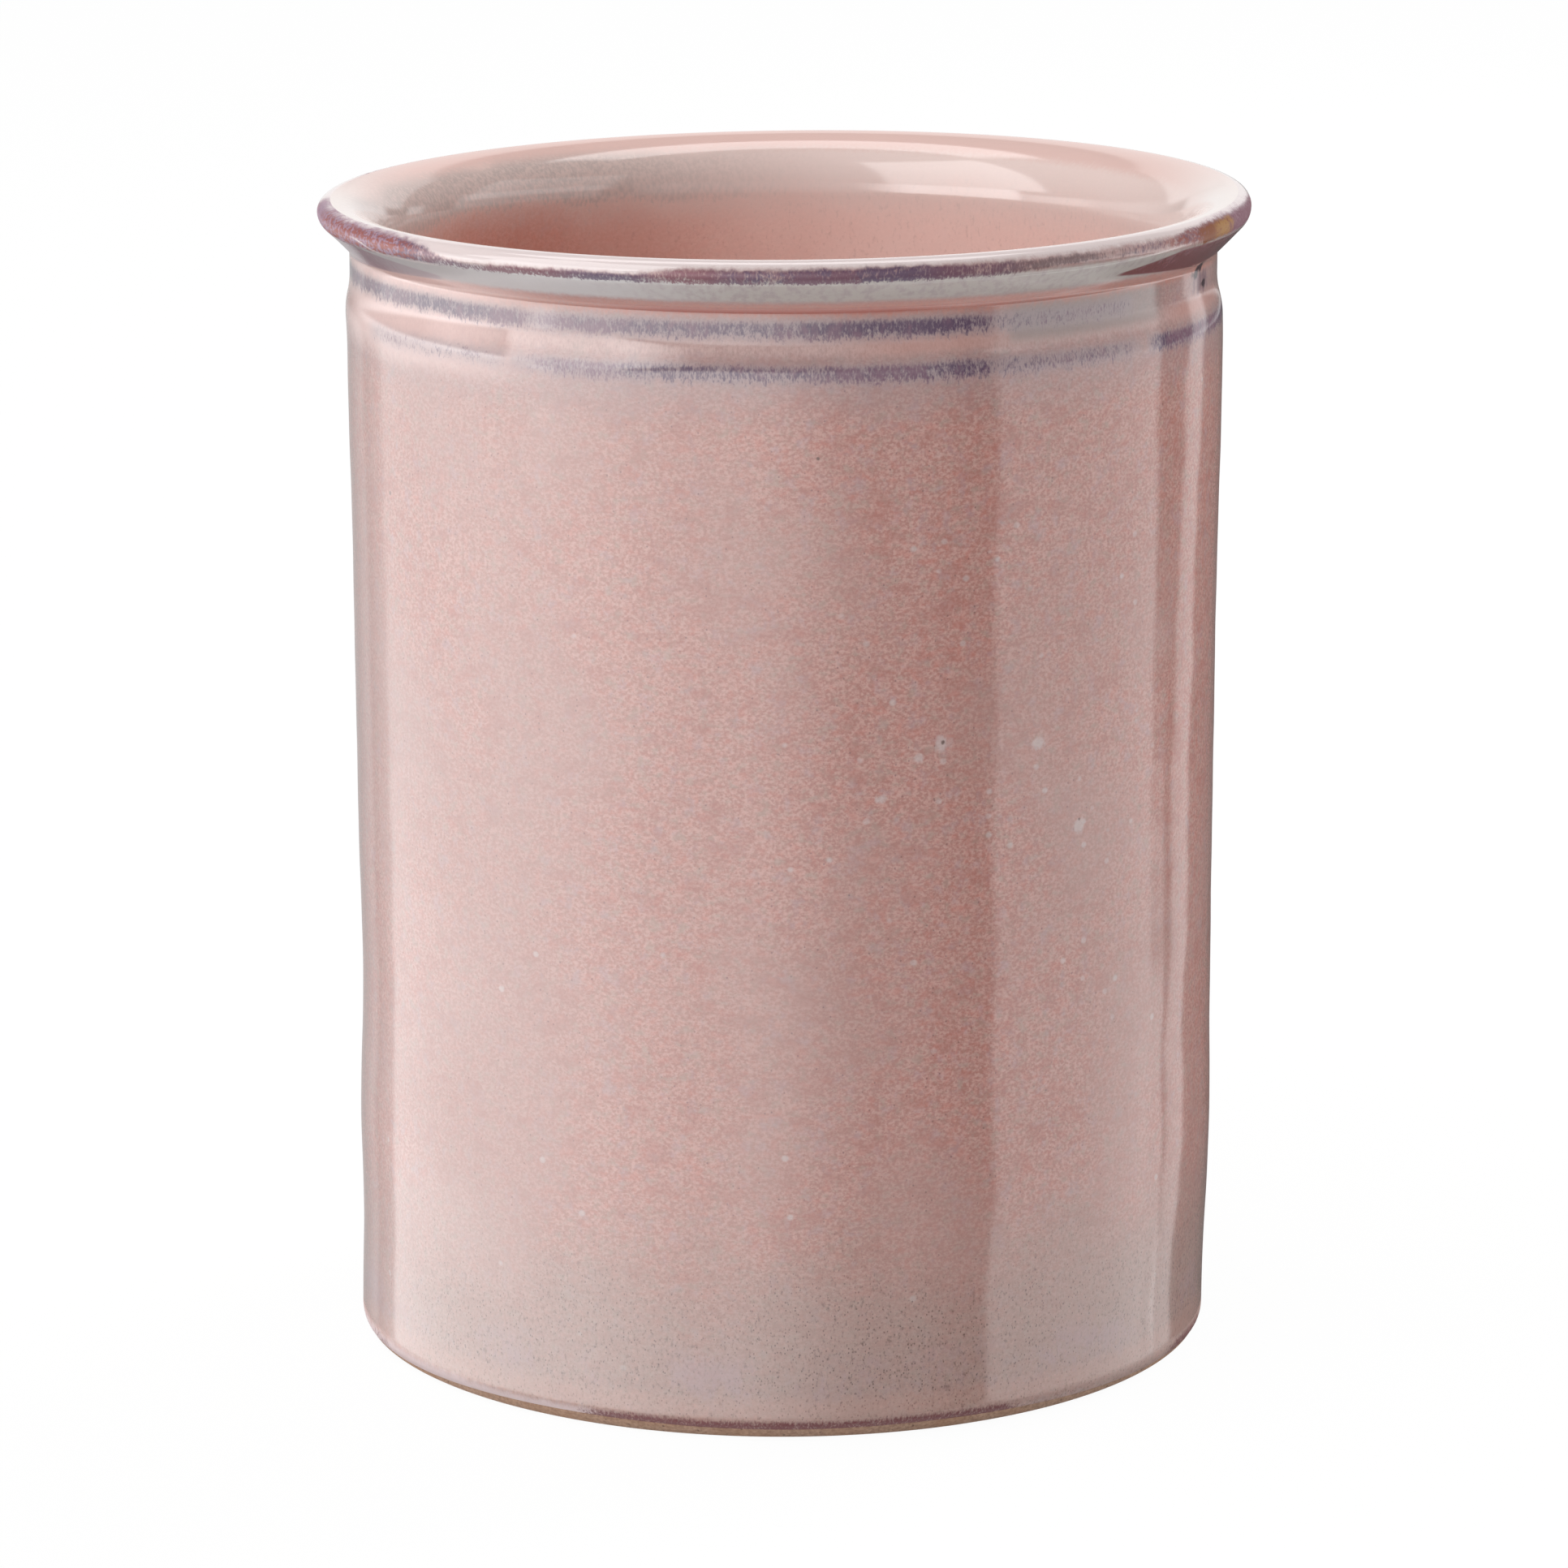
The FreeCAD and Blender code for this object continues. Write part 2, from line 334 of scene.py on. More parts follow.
class Recipe:
    """The nodes of a finish, or of the studio's light."""

    def __init__(self, owner):
        owner.use_nodes = True
        self.tree = owner.node_tree
        self.tree.nodes.clear()

    def node(self, kind, settings={}, sockets={}, output=0):
        """Any node: its settings first, then the values or links of its sockets. Gives one of its outputs."""
        made = self.tree.nodes.new(kind)
        for name, value in settings.items():
            setattr(made, name, value)
        for name, value in sockets.items():
            if isinstance(value, Amount):
                self.tree.links.new(value.socket, made.inputs[name])
            else:
                made.inputs[name].default_value = value
        return Amount(self, made.outputs[output]) if len(made.outputs) else made

    def math(self, operation, first, second=0.0):
        return self.node("ShaderNodeMath", {"operation": operation}, {0: first, 1: second})

    def rise(self, value, low, high):
        """0 at low, 1 at high and smooth between; it falls where low is the larger."""
        settings = {"interpolation_type": "SMOOTHSTEP"}
        return self.node("ShaderNodeMapRange", settings, {0: value, 1: low, 2: high})

    def band(self, value, low, high, soft):
        """1 between low and high, with soft edges."""
        return self.rise(value, low - soft, low + soft) * self.rise(value, high + soft, high - soft)

    def mix(self, share, first, second):
        """The first colour where the share is 0, the second where it is 1."""
        return self.node("ShaderNodeMix", {"data_type": "RGBA"}, {0: share, 6: first, 7: second}, 2)

    def stretched(self, place, sizes):
        """A place measured in grains of these sizes across, deep and high."""
        shares = [1 / size for size in sizes]
        return self.node("ShaderNodeVectorMath", {"operation": "MULTIPLY"}, {0: place, 1: shares})

    def noise(self, place, detail=2.0, roughness=0.5):
        sockets = {"Vector": place, "Scale": 1.0, "Detail": detail, "Roughness": roughness}
        return self.node("ShaderNodeTexNoise", {}, sockets)

    def dots(self, place, radius, chosen_share):
        """Round dots at random places, one to a grain, of which only a share is kept."""
        cell = self.node("ShaderNodeTexVoronoi", {}, {"Vector": place, "Scale": 1.0})
        chance = self.node("ShaderNodeSeparateColor", {}, {0: cell.other("Color")})
        kept = self.math("LESS_THAN", chance, chosen_share)
        return self.rise(cell, radius, radius * 0.4) * kept

    def place(self):
        """The place on the crock, in millimetres."""
        spot = self.node("ShaderNodeTexCoord", output="Object")
        return self.node("ShaderNodeVectorMath", {"operation": "SCALE"}, {0: spot, "Scale": 1 / MM})

    def coat(self, colour, roughness, normal, ior=1.5):
        """The finished surface."""
        sockets = {"Base Color": colour, "Roughness": roughness, "Normal": normal, "IOR": ior}
        surface = self.node("ShaderNodeBsdfPrincipled", {}, sockets)
        self.node("ShaderNodeOutputMaterial", {}, {"Surface": surface})

    def bump(self, relief, depth):
        """Fine relief, with its depth in millimetres."""
        return self.node("ShaderNodeBump", {}, {"Height": relief, "Distance": depth * MM, "Strength": 1.0})


def colour(red, green, blue):
    """A colour as it looks on a screen, from 0 to 255, as the light it reflects."""
    shares = [channel / 255 for channel in (red, green, blue)]
    linear = [share / 12.92 if share <= 0.04045 else ((share + 0.055) / 1.055) ** 2.4 for share in shares]
    return (*linear, 1.0)


def fired(name, piece):
    """A new finish on a piece."""
    finish = bpy.data.materials.new(name)
    piece.data.materials.append(finish)
    return Recipe(finish)


clay_dark = colour(131, 103, 86)
clay_light = colour(174, 145, 125)
clay_tan = colour(150, 112, 84)
iron_brown = colour(70, 48, 38)

stoneware = turned_shell("stoneware", stoneware_outline())
recipe = fired("bare_stoneware", stoneware)
place = recipe.place()
grit = recipe.noise(recipe.stretched(place, (0.5, 0.5, 0.35)), 4.0, 0.65)
drift = recipe.noise(recipe.stretched(place, (9, 9, 4)), 2.0)
clay_colour = recipe.mix(recipe.rise(grit, 0.3, 0.7), clay_dark, clay_light)
clay_colour = recipe.mix(recipe.rise(drift, 0.4, 0.7) * 0.45, clay_colour, clay_tan)
iron_specks = recipe.dots(recipe.stretched(place, (0.9, 0.9, 0.9)), 0.26, 0.25)
clay_colour = recipe.mix(iron_specks * 0.7, clay_colour, iron_brown)
dry_roughness = recipe.rise(grit, 0.1, 0.9) * 0.15 + 0.78
recipe.coat(clay_colour, dry_roughness, recipe.bump(grit, depth=0.05))
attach(stoneware, "root")
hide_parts("stoneware_body")


# Liner glaze: the glass inside, an opaque dusty pink that breaks to grey and cream where the lip thins it.
# It is poured in, swilled round and poured out again, so it runs from the crest of the lip down the flare and
# the bore and over the floor, and it melts onto the clay in the firing.

rose = colour(160, 115, 107)
pale_rose = colour(184, 145, 137)
salmon_rose = colour(178, 113, 102)
beige_rose = colour(155, 136, 126)
deep_rose = colour(157, 104, 96)
grey_rose = colour(163, 136, 131)
lavender_rose = colour(160, 137, 142)
fleck_blue = colour(186, 179, 178)
speck_brown = colour(96, 70, 72)
# The bore's two tones are painted shade on its left and painted light on its right
bore_shaded_rose = colour(208, 134, 114)
bore_lit_pale = colour(244, 210, 201)
bore_fleck = colour(140, 96, 90)
flare_white = colour(205, 195, 191)
flare_stone = colour(153, 145, 141)
near_crest_cream_and_highlight = colour(214, 203, 198)
far_crest_pink = colour(206, 170, 162)

# Heights between which the flare pales, is washed grey, and turns to its near and far crest
flare_pale_from, flare_pale_to = 137.0, 146.0
flare_grey_from, flare_grey_to = 142.5, 148.5
near_crest_highlight_from, near_crest_highlight_to = 147.8, 149.4
far_crest_from, far_crest_to = 147.6, 149.0


def pink_ground(recipe, place, specks_share):
    """The plain glaze: light grains in a darker pink, greyer and redder by patches, with fine dark specks."""
    grain = recipe.noise(recipe.stretched(place, (0.5, 0.5, 0.38)), 3.0, 0.65)
    patches = recipe.noise(recipe.stretched(place, (3.4, 3.4, 2.2)), 2.0)
    drifts = recipe.noise(recipe.stretched(place, (26, 26, 34)), 2.0)
    tint = recipe.noise(recipe.stretched(place, (1.5, 1.5, 1.1)), 3.0, 0.6)
    bloom = recipe.noise(recipe.stretched(place, (2.1, 2.1, 2.1)), 3.0, 0.6)
    ground = recipe.mix(recipe.rise(grain, 0.36, 0.66), rose, pale_rose)
    ground = recipe.mix(recipe.rise(tint, 0.5, 0.72) * 0.55, ground, beige_rose)
    ground = recipe.mix(recipe.rise(tint, 0.5, 0.28) * 0.45, ground, salmon_rose)
    ground = recipe.mix(recipe.rise(bloom, 0.52, 0.74) * 0.45, ground, lavender_rose)
    ground = recipe.mix(recipe.rise(patches, 0.5, 0.72) * 0.42, ground, deep_rose)
    ground = recipe.mix(recipe.rise(drifts, 0.42, 0.68) * 0.4, ground, grey_rose)
    flecks = recipe.dots(recipe.stretched(place, (5.2, 5.2, 4.6)), 0.12, 0.22)
    ground = recipe.mix(flecks * 0.5, ground, fleck_blue)
    specks = recipe.dots(recipe.stretched(place, (0.8, 0.8, 0.9)), 0.2, specks_share)
    return recipe.mix(specks * 0.5, ground, speck_brown)


def broken(recipe, strokes, cover):
    """Strokes of colour that lie close where the cover is 1, thin out as it falls and are gone at 0."""
    return recipe.rise(cover + (strokes - 0.5) * 2.4, 0.25, 1.15) * recipe.rise(cover, 0, 0.2)


def glassy(recipe, place, ground, dullness=0.08):
    """Melted glass over the colour: smooth, with a faint orange peel."""
    peel = recipe.noise(recipe.stretched(place, (2.6, 2.6, 3.4)), 2.0)
    smear = recipe.noise(recipe.stretched(place, (0.6, 0.6, 0.6)), 2.0)
    relief = peel + smear * 0.15
    recipe.coat(ground, smear * 0.04 + dullness, recipe.bump(relief, depth=0.004))


def liner_outline():
    """The section of the liner: its own surface down to the axis, and back up along the clay."""
    return inside(glaze, 2) + inside(clay, 1)[::-1]


liner = turned_shell("liner_glaze_coat", liner_outline())
recipe = fired("liner_glaze", liner)
place = recipe.place()
across = recipe.node("ShaderNodeSeparateXYZ", {}, {0: place})
back = across.other("Y")
rise = across.other("Z")
streak = recipe.noise(recipe.stretched(place, (0.5, 0.5, 0.9)), 3.0, 0.6)
wander = recipe.noise(recipe.stretched(place, (17, 17, 17)), 2.0)

# Bore: painted shade makes it rosy to the left and painted light makes it pale to the right, with fine flecks
# below the lip
painted_light_side = recipe.rise(across + (wander - 0.5) * 24, -46, 20)
painted_light_tone = recipe.mix(painted_light_side, bore_shaded_rose, bore_lit_pale)
ground = recipe.mix(painted_light_side * 0.25 + 0.5, pink_ground(recipe, place, 0.42), painted_light_tone)
flecks = recipe.rise(streak, 0.54, 0.74) * recipe.rise(rise, 148, 140)
ground = recipe.mix(flecks * 0.2, ground, bore_fleck)

# Flare: paler towards the lip, washed with grey to the left, cream on the near crest, partly thin glaze and
# partly painted highlight, and pink on the far one
ragged = rise + (streak - 0.5) * 3
flare_pale = recipe.rise(ragged + (wander - 0.5) * 5, flare_pale_from, flare_pale_to)
ground = recipe.mix(flare_pale * 0.62, ground, flare_white)
flare_grey = recipe.band(ragged + (wander - 0.5) * 6, flare_grey_from, flare_grey_to, 0.7)
flare_grey = flare_grey * (recipe.rise(streak, 0.35, 0.65) * 0.6 + 0.4) * recipe.rise(across, 12, -36)
ground = recipe.mix(flare_grey * 0.65, ground, flare_stone)
crest_edge = rise + (streak - 0.5) * 1.2
# Near crest: partly the thin glaze's cream, partly a painted highlight on the near side
near_crest_and_highlight = recipe.rise(crest_edge, near_crest_highlight_from, near_crest_highlight_to) * recipe.rise(back, 30, -10)
ground = recipe.mix(near_crest_and_highlight * 0.8, ground, near_crest_cream_and_highlight)
far_crest = recipe.rise(crest_edge, far_crest_from, far_crest_to) * recipe.rise(back, -5, 30)
ground = recipe.mix(far_crest * 0.7, ground, far_crest_pink)
glassy(recipe, place, ground)
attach(liner, "root")
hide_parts("liner_glaze")


# Outer glaze: the same glass outside, which breaks purple and grey-blue on the lip and in the incised lines.
# The crock is dipped upside down, so the coat runs from the crest of the lip down to a rolled hem, and it is
# wiped off the foot. The melt thins on every edge and pools in every line, which is what changes its colour.

purple = colour(75, 54, 81)
maroon = colour(106, 54, 66)
mauve = colour(110, 78, 96)
grey_blue = colour(146, 134, 136)
pool_grey = colour(148, 135, 139)
card_veil_grey = colour(134, 125, 122)
salmon = colour(187, 158, 153)
neck_salmon = colour(176, 126, 115)
painted_light_pink = colour(224, 192, 186)
coral = colour(152, 86, 78)
under_lip_grey = colour(166, 160, 155)
under_lip_mauve = colour(156, 147, 146)
under_lip_painted_veil = colour(186, 184, 185)
crest_white_and_highlight = colour(212, 200, 199)
hem_lavender_and_light = colour(206, 190, 192)
hem_peach = colour(190, 148, 136)
hem_purple = colour(84, 16, 26)
foot_grey = colour(150, 134, 127)
fleck_dark = colour(86, 66, 61)
lilac = colour(142, 112, 130)
lip_brown = colour(96, 72, 72)
rust = colour(128, 58, 40)
ochre = colour(150, 108, 50)
ochre_brown = colour(118, 62, 18)
wedge_maroon = colour(104, 44, 48)
wedge_mauve = colour(122, 80, 86)
wedge_grey = colour(172, 158, 162)
wedge_lilac = colour(160, 132, 141)
spot_dark = colour(54, 38, 44)
spot_mauve = colour(112, 88, 98)

shoulder_steps = 24


def outer_outline():
    """The section of the outer coat: hem, wall, soft shoulder, neck and lip, and back down along the clay."""
    hem_centre_shift = (glaze_hem_rise**2 - glaze_on_wall**2) / (2 * glaze_on_wall)
    hem_radius = hem_centre_shift + glaze_on_wall
    hem_top = bare_corner_radius + glaze_hem_rise
    turn = math.degrees(math.asin(glaze_hem_rise / hem_radius))
    template = Template((clay.foot_radius, bare_corner_radius))
    template.arc((glaze.foot_radius - hem_radius, hem_top), hem_radius, -turn, 0, 10)
    template.drawn_in((body_radius, shoulder_foot), wall_waist, 100)
    for step in range(1, shoulder_steps + 1):
        rise = shoulder_foot + (shoulder_top - shoulder_foot) * step / shoulder_steps
        template.points.append((shoulder_radius(rise), rise))
    return add_lip(template, glaze, 3).points + clay_outside()[::-1]


outer = turned_shell("outer_glaze_coat", outer_outline())
recipe = fired("outer_glaze", outer)
place = recipe.place()
across = recipe.node("ShaderNodeSeparateXYZ", {}, {0: place})
back = across.other("Y")
rise = across.other("Z")
lip_tilt = across * lip_rise + back * lip_nod - crest_radius * lip_nod
lip_tilt_followed = 0.8
lip_level = rise - lip_tilt * (lip_tilt_followed / crest_radius)
ground = pink_ground(recipe, place, 0.22)

# Bearings are degrees round the crock from the side that faces the camera, with the right side positive
facing = recipe.math("ARCTAN2", across, back * -1.0) * (180 / math.pi)
turned = recipe.math("ABSOLUTE", facing)
behind = recipe.rise(turned, 80, 95)
not_far_side = recipe.rise(turned, 160, 95)
streak = recipe.noise(recipe.stretched(place, (0.26, 0.26, 0.6)), 3.0, 0.62)
run = recipe.noise(recipe.stretched(place, (1.1, 1.1, 1.9)), 3.0, 0.6)
wander = recipe.noise(recipe.stretched(place, (13, 13, 13)), 2.0)
fuzz = (streak - 0.5) * 1.4 + (run - 0.5) * 1.8 + (wander - 0.5) * 1.2
strokes = streak + (run - 0.5) * 0.3


def densest(*stretches):
    """How close the strokes lie: stretches of (from, to, soft edge, share), and more behind."""
    share = behind * 0.7
    for start, end, soft, level in stretches:
        share = recipe.math("MAXIMUM", share, recipe.band(facing, start, end, soft) * level)
    return share


def ragged_spot(at, level, reach, widening=1.0):
    """A round or widened mark with a ragged edge, at a bearing and a height on the wall."""
    along = (facing - at) * (body_radius * math.pi / 180 / widening)
    above = rise - level
    away = recipe.math("SQRT", along * along + above * above)
    return recipe.rise(away + (run - 0.5) * reach * 1.8, reach, reach * 0.3)


def unreflected_tongue(way, lower_edge, droop, upper_edge, climb, soft=0.3):
    """A wedge of colour under the lip that opens from its tip along a way round the crock, in degrees,
    outlined by the edge of a painted reflection.
    """
    shape = recipe.rise(rise + way * droop, lower_edge, lower_edge + soft)
    shape = shape * recipe.rise(way * climb - rise, -upper_edge - soft, -upper_edge)
    return shape * recipe.rise(way, 0, 2) * recipe.rise(turned, 100, 84)


# Wall: pale blue-grey flecks where crystals grew, mostly to the right, and pinholes that show dark, each
# with its bearing, its height and its reach
crystal_bearings, crystal_heights = (6, 58), (48, 122)
crystal_marks = (
    (41.1, 76.3, 1.3), (20.3, 89.0, 1.4), (17.0, 87.2, 0.9), (12.3, 82.4, 0.9), (34.2, 87.6, 1.1))
pinholes = (
    (-62.0, 115.3, 0.35), (4.2, 125.1, 0.25), (84.0, 93.2, 0.5), (41.1, 77.0, 0.3), (20.4, 89.1, 0.35))
crystals = recipe.dots(recipe.stretched(place, (3.1, 3.1, 2.7)), 0.2, 0.34)
crystals = crystals * recipe.band(facing, *crystal_bearings, 9) * recipe.band(rise, *crystal_heights, 12)
ground = recipe.mix(crystals * 0.4, ground, fleck_blue)
for at, level, reach in crystal_marks:
    ground = recipe.mix(ragged_spot(at, level, reach) * 0.5, ground, fleck_blue)
for at, level, reach in pinholes:
    ground = recipe.mix(ragged_spot(at, level, reach) * 0.8, ground, fleck_dark)

# Foot: greyer and closely flecked, with a lavender bloom, a broken purple line along the matt hem, and a pale
# lavender hem to the left, partly its own colour and partly painted reflection
foot_fade, bloom_heights, peach_heights = (34, 8), (6.0, 11.0), (2.6, 5.4)
painted_hem_fade, hem_line_fade, matt_hem_fade = (3.0, 1.8), (3.2, 1.9), (3.4, 2.2)
foot_share = recipe.rise(rise + (wander - 0.5) * 24, *foot_fade)
foot_share = foot_share * (1 - recipe.rise(facing, -50, -70) * not_far_side * 0.7)
ground = recipe.mix(foot_share * 0.6, ground, foot_grey)
fleck_grain = recipe.noise(recipe.stretched(place, (0.42, 0.42, 0.62)), 3.0, 0.6)
ground = recipe.mix(recipe.rise(fleck_grain, 0.42, 0.3) * foot_share * 0.4, ground, pale_rose)
ground = recipe.mix(recipe.rise(fleck_grain, 0.53, 0.7) * foot_share * 0.5, ground, fleck_dark)
foot_flecks = recipe.dots(recipe.stretched(place, (0.44, 0.44, 0.62)), 0.29, 0.65)
ground = recipe.mix(foot_flecks * foot_share * 0.75, ground, fleck_dark)
bloom = recipe.band(rise + fuzz * 2.0, *bloom_heights, 2.0)
bloom = bloom * recipe.rise(wander + (run - 0.5) * 0.5, 0.46, 0.66)
ground = recipe.mix(bloom * 0.45, ground, lavender_rose)
peach = recipe.band(rise + fuzz * 0.8, *peach_heights, 1.0)
ground = recipe.mix(peach * 0.22, ground, hem_peach)
# Painted reflection: the hem is painted paler to the left, for the white table it would mirror
painted_pale_hem = recipe.rise(rise + fuzz * 0.6, *painted_hem_fade) * recipe.rise(facing, -20, -28) * not_far_side
ground = recipe.mix(painted_pale_hem * 0.75, ground, hem_lavender_and_light)
hem_density = densest((-74, -66, 2, 0.5), (-27, 32, 3, 1.05), (32, 44, 4, 0.3), (64, 80, 3, 0.9))
hem_line = broken(recipe, strokes, recipe.rise(rise + fuzz * 0.35, *hem_line_fade) * hem_density)
ground = recipe.mix(hem_line * 0.95, ground, hem_purple)

# Shoulder: each incised line holds a purple pool with a grey-blue halo that runs down, between salmon lands
halo_fade, painted_light_fade, card_veil_heights = (127.5, 134.5), (131.0, 135.0), (138.2, 142.6)
halo = recipe.rise(rise + fuzz * 2.0, *halo_fade)
ground = recipe.mix(halo * 0.38, ground, grey_blue)
# Painted light: the shoulder and the neck are painted paler to the left, where the light and its reflection
# fall
painted_left_light = recipe.rise(facing, -26, -50) * not_far_side
land = recipe.band(rise + fuzz * 0.5, shoulder_foot + 3.0, shoulder_top - 0.7, 0.7)
neck = recipe.band(rise + fuzz * 0.4, upper_line + 1.2, glaze.neck_top + 1.5, 0.5)
grainy = recipe.rise(strokes, 0.2, 0.8) * 0.9 + 0.25
ground = recipe.mix(land * grainy, ground, salmon)
redder = recipe.band(facing, 10, 27, 6) + recipe.band(facing, 60, 80, 4)
ground = recipe.mix(land * redder * 0.5, ground, neck_salmon)
ground = recipe.mix(recipe.rise(rise + fuzz, *painted_light_fade) * painted_left_light * 0.6, ground, painted_light_pink)
ground = recipe.mix(neck * grainy, ground, recipe.mix(painted_left_light * 0.8, neck_salmon, painted_light_pink))
coral_line = recipe.band(rise + fuzz * 0.15, glaze.neck_top + 0.1, glaze.neck_top + 0.8, 0.3)
ground = recipe.mix(coral_line * densest((-20, 20, 8, 1.0), (20, 40, 6, 0.4)) * 0.75, ground, coral)
# Painted reflection: a grey veil over the neck to the right, where the white card on the right is mirrored
painted_card_veil = recipe.band(facing + fuzz * 2.0, 29, 57, 2.0) * recipe.band(rise + fuzz * 0.5, *card_veil_heights, 0.8)
ground = recipe.mix(painted_card_veil * 0.65, ground, card_veil_grey)
lower_density = densest(
    (-66, -38, 5, 0.45), (-34, 7, 6, 0.8), (3, 27, 4, 0.95), (26, 50, 4, 0.6), (54, 90, 2, 1.0))
upper_density = densest((-90, -33, 4, 1.05), (-34, 4, 5, 0.92), (0, 27, 4, 1.1), (26, 50, 3, 0.5))
for middle, density in ((lower_line - 0.1, lower_density), (upper_line - 0.3, upper_density)):
    cover = recipe.rise(rise + fuzz * 0.5, middle - 2.2, middle - 0.2)
    cover = cover * recipe.rise(rise + fuzz * 0.5, middle + 1.7, middle + 0.2)
    pool = cover * recipe.rise(density, 0, 0.3) * (density * 0.3 + 0.45)
    ground = recipe.mix(pool, ground, pool_grey)
    patchy = recipe.rise(run + (wander - 0.5) * 0.4, 0.3, 0.55) * 0.25 + 0.75
    line_colour = recipe.mix(recipe.rise(wander + (run - 0.5) * 0.8, 0.42, 0.66), purple, mauve)
    ground = recipe.mix(broken(recipe, strokes, cover * density * patchy) * 0.88, ground, line_colour)

# Under the lip: grey, painted paler to the left as a painted reflection, with a deeper wedge at each side
# outlined by the edge of that painted reflection, and dark spots on the neck
under_lip_heights = (144.3, 147.4)
right_tip, left_tip = 44.3, -46.5
neck_spots = ((69.8, 143.0, 0.95), (68.0, 142.2, 0.8), (71.5, 140.6, 0.7))
under_lip = recipe.band(rise + fuzz * 0.25, *under_lip_heights, 0.4)
mottled = recipe.mix(recipe.rise(run, 0.42, 0.66), under_lip_grey, under_lip_mauve)
# Painted reflection: the underside is painted paler to the left
painted_left_veil = recipe.rise(facing + (run - 0.5) * 12, -2, -26) * not_far_side
mottled = recipe.mix(painted_left_veil * 0.85, mottled, under_lip_painted_veil)
ground = recipe.mix(under_lip * 0.9, ground, mottled)
# Each wedge is the glaze's own darker colour, outlined where the painted reflection around it stops
right_unreflected_wedge = unreflected_tongue(facing - right_tip, lower_edge=144.9, droop=0.07, upper_edge=145.0, climb=0.17)
right_unreflected_wedge = right_unreflected_wedge * recipe.rise(rise, 147.3, 147.0) * recipe.rise(rise, 143.5, 143.8)
wedge_colour = recipe.mix(recipe.rise(run + (rise - 145.5) * 0.12, 0.48, 0.76), wedge_maroon, wedge_mauve)
ground = recipe.mix(right_unreflected_wedge * 0.9, ground, wedge_colour)
left_way = left_tip - facing
left_unreflected_wedge = unreflected_tongue(left_way, lower_edge=144.1, droop=0.045, upper_edge=144.6, climb=0.09)
wedge_colour = recipe.mix(recipe.rise(left_way + (run - 0.5) * 14, 6, 20), wedge_grey, wedge_lilac)
ground = recipe.mix(left_unreflected_wedge * 0.9, ground, wedge_colour)
ground = recipe.mix(ragged_spot(70.3, 141.0, 1.9, widening=2.4) * 0.7, ground, spot_mauve)
for at, level, reach in neck_spots:
    ground = recipe.mix(ragged_spot(at, level, reach, widening=2.2) * 0.95, ground, spot_dark)

# The edge of the lip: pale on its crest, partly thin glaze and partly painted highlight, and a purple to
# maroon line where the melt leaves it, which widens to lilac and rust at both sides
crest_and_highlight_fade, line_foot, line_top = (148.7, 149.5), (146.95, 147.45), (149.45, 148.6)
ochre_bearings, ochre_heights = (60, 69), (147.2, 149.3)
painted_highlight_bearings, painted_highlight_heights = (-64, -46), (146.95, 147.15)
# Painted highlight: to the front left the crest's white reaches lower and the line is narrower, where the key
# light is mirrored
painted_highlight_widening = recipe.band(facing, -46, -15, 4) * 0.85
crest = recipe.rise(lip_level + fuzz * 0.35 + painted_highlight_widening, *crest_and_highlight_fade)
ground = recipe.mix(crest * 0.85, ground, crest_white_and_highlight)
widened = (recipe.rise(facing, -38, -58) * 0.95 + recipe.rise(facing, 48, 62) * 0.6) * not_far_side
edge_level = lip_level + fuzz * 0.75 - widened + painted_highlight_widening
raised = recipe.band(facing, 30, 60, 5) * 0.6
edge_cover = recipe.rise(lip_level + fuzz * 0.25 - raised, *line_foot) * recipe.rise(edge_level, *line_top)
edge_cover = edge_cover * (1 - recipe.band(turned, 88, 108, 3))
both_sides = recipe.math("MAXIMUM", recipe.rise(facing, -44, -54), recipe.rise(facing, 56, 70) * 0.7)
both_sides = both_sides * not_far_side
ground = recipe.mix(edge_cover * both_sides * 0.9, ground, lilac)
redness = recipe.rise(wander + (run - 0.5) * 0.7, 0.5, 0.66) * 0.5
red_stretches = densest((-40, -26, 4, 0.9), (-16, -7, 3, 0.9), (17, 28, 3, 0.5), (50, 90, 3, 0.8))
edge_colour = recipe.mix(recipe.math("MAXIMUM", redness, red_stretches), purple, maroon)
edge_colour = recipe.mix(recipe.band(facing, 28, 46, 4) * 0.9, edge_colour, lip_brown)
edge_density = densest(
    (-90, -52, 4, 0.5), (-54, -38, 3, 0.9), (-40, -14, 4, 1.1), (-16, 0, 4, 1.05),
    (-2, 24, 4, 1.1), (22, 41, 4, 1.0), (41, 54, 4, 0.65), (53, 90, 3, 0.95))
ground = recipe.mix(broken(recipe, strokes, edge_cover * edge_density) * 0.9, ground, edge_colour)
scaly = recipe.noise(recipe.stretched(place, (0.7, 0.7, 0.4)), 3.0, 0.6)
rust_marks = densest((-78, -49, 4, 1.0), (52, 63, 2, 0.9)) * edge_cover
rust_marks = rust_marks * recipe.rise(scaly + (run - 0.5) * 0.5, 0.44, 0.55)
rust_marks = rust_marks * recipe.rise(edge_level, 149.2, 148.3)
ground = recipe.mix(rust_marks * 0.85, ground, rust)
ochre_mark = recipe.band(facing + fuzz * 3.0, *ochre_bearings, 1.6)
ochre_mark = ochre_mark * recipe.band(lip_level + fuzz * 0.5, *ochre_heights, 0.3)
browner = recipe.math("MAXIMUM", recipe.rise(scaly, 0.5, 0.66), recipe.rise(facing + fuzz * 2.0, 65.5, 63.0))
ground = recipe.mix(ochre_mark * 0.9, ground, recipe.mix(browner, ochre, ochre_brown))
